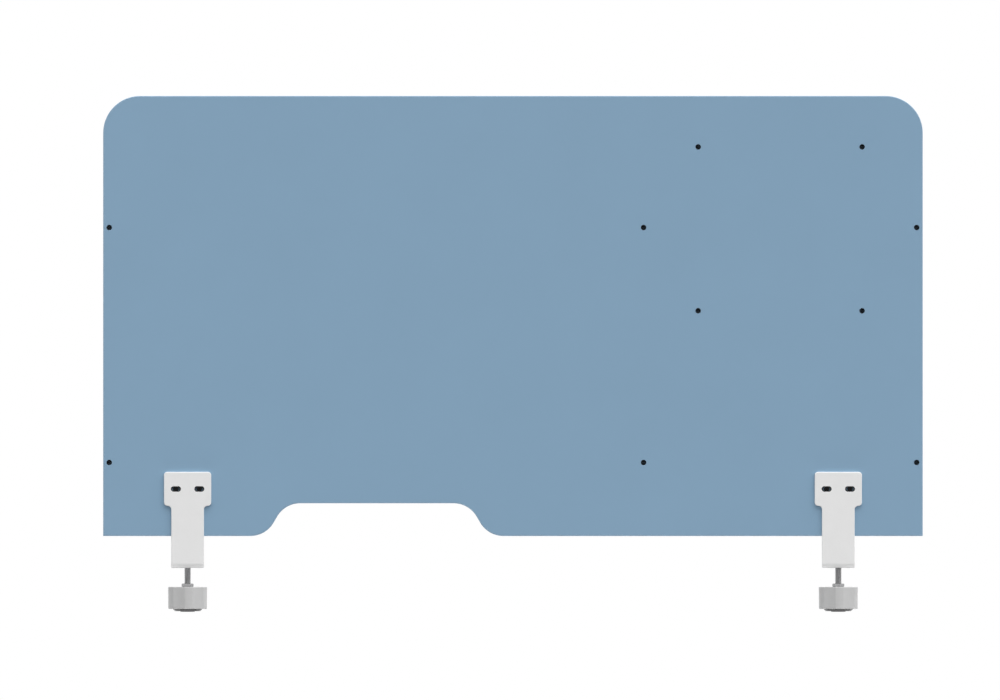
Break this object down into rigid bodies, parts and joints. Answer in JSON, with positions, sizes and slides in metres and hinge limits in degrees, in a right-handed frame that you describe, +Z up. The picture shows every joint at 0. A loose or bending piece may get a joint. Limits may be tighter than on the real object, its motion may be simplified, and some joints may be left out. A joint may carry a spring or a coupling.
{
  "type": "desk privacy panel",
  "caption": "Rectangular desk screen with rounded top corners, a cable cut-out in its bottom edge, threaded accessory inserts, and screw clamps that grip a desk top's rear edge.",
  "frame": {"origin": "middle of the panel's bottom edge, in the plane of the desk top and halfway through the board", "axes": "+X along the panel, +Y over the desk away from the face that carries the brackets, +Z up"},
  "size_m": [1, 0.053, 0.6295],
  "materials": {
    "board": "matt melamine facing in a plain blue-grey, on particle board",
    "edge_band": "satin ABS edge strip in the facing's colour",
    "coated_steel": "white powder coat, fine texture, on bent steel plate",
    "black_steel": "black oxide, satin",
    "zinc_steel": "bright zinc plate",
    "knob_plastic": "moulded grey plastic, satin",
    "cap_plastic": "moulded black plastic, glossy",
    "rubber": "black rubber, matt"
  },
  "bodies": {
    "panel": {"panel_board": "board", "edge_band_foot_left": "edge_band", "edge_band_arch": "edge_band", "edge_band_foot_right": "edge_band", "edge_band_rim": "edge_band", "insert_left_column_low": "black_steel", "insert_left_column_high": "black_steel", "insert_middle_column_low": "black_steel", "insert_middle_column_high": "black_steel", "insert_right_column_low": "black_steel", "insert_right_column_high": "black_steel", "insert_square_low_left": "black_steel", "insert_square_high_left": "black_steel", "insert_square_low_right": "black_steel", "insert_square_high_right": "black_steel", "bracket_insert_left_a": "zinc_steel", "bracket_screw_left_a": "black_steel", "bracket_insert_left_b": "zinc_steel", "bracket_screw_left_b": "black_steel", "bracket_insert_right_a": "zinc_steel", "bracket_screw_right_a": "black_steel", "bracket_insert_right_b": "zinc_steel", "bracket_screw_right_b": "black_steel"},
    "bracket_left": {"bracket_left": "coated_steel", "jaw_nut_left": "zinc_steel"},
    "pad_left": {"pad_cup_left": "zinc_steel", "pad_rubber_left": "rubber"},
    "screw_left": {"spindle_left": "zinc_steel", "lock_nut_left": "zinc_steel", "knob_left": "knob_plastic", "knob_nut_left": "zinc_steel", "knob_cap_left": "cap_plastic"},
    "bracket_right": {"bracket_right": "coated_steel", "jaw_nut_right": "zinc_steel"},
    "pad_right": {"pad_cup_right": "zinc_steel", "pad_rubber_right": "rubber"},
    "screw_right": {"spindle_right": "zinc_steel", "lock_nut_right": "zinc_steel", "knob_right": "knob_plastic", "knob_nut_right": "zinc_steel", "knob_cap_right": "cap_plastic"}
  },
  "joints": [
    {"name": "bracket_left_shift", "type": "slide", "parent": "panel", "child": "bracket_left", "axis": [1, 0, 0], "range_m": [-0.0025, 0.0025]},
    {"name": "pad_left_travel", "type": "slide", "parent": "bracket_left", "child": "pad_left", "axis": [0, 0, 1], "range_m": [0, 0.0187]},
    {"name": "knob_left_turn", "type": "hinge", "parent": "pad_left", "child": "screw_left", "pos_m": [-0.397, 0.015, -0.0754], "axis": [0, 0, 1], "range_deg": [0, 5385]},
    {"name": "bracket_right_shift", "type": "slide", "parent": "panel", "child": "bracket_right", "axis": [1, 0, 0], "range_m": [-0.0025, 0.0025]},
    {"name": "pad_right_travel", "type": "slide", "parent": "bracket_right", "child": "pad_right", "axis": [0, 0, 1], "range_m": [0, 0.0187]},
    {"name": "knob_right_turn", "type": "hinge", "parent": "pad_right", "child": "screw_right", "pos_m": [0.397, 0.015, -0.0754], "axis": [0, 0, 1], "range_deg": [0, 5385]}
  ],
  "couplings": [
    {"joint": "pad_left_travel", "follows": "knob_left_turn", "m_per_rad": 0.00019894},
    {"joint": "pad_right_travel", "follows": "knob_right_turn", "m_per_rad": 0.00019894}
  ]
}
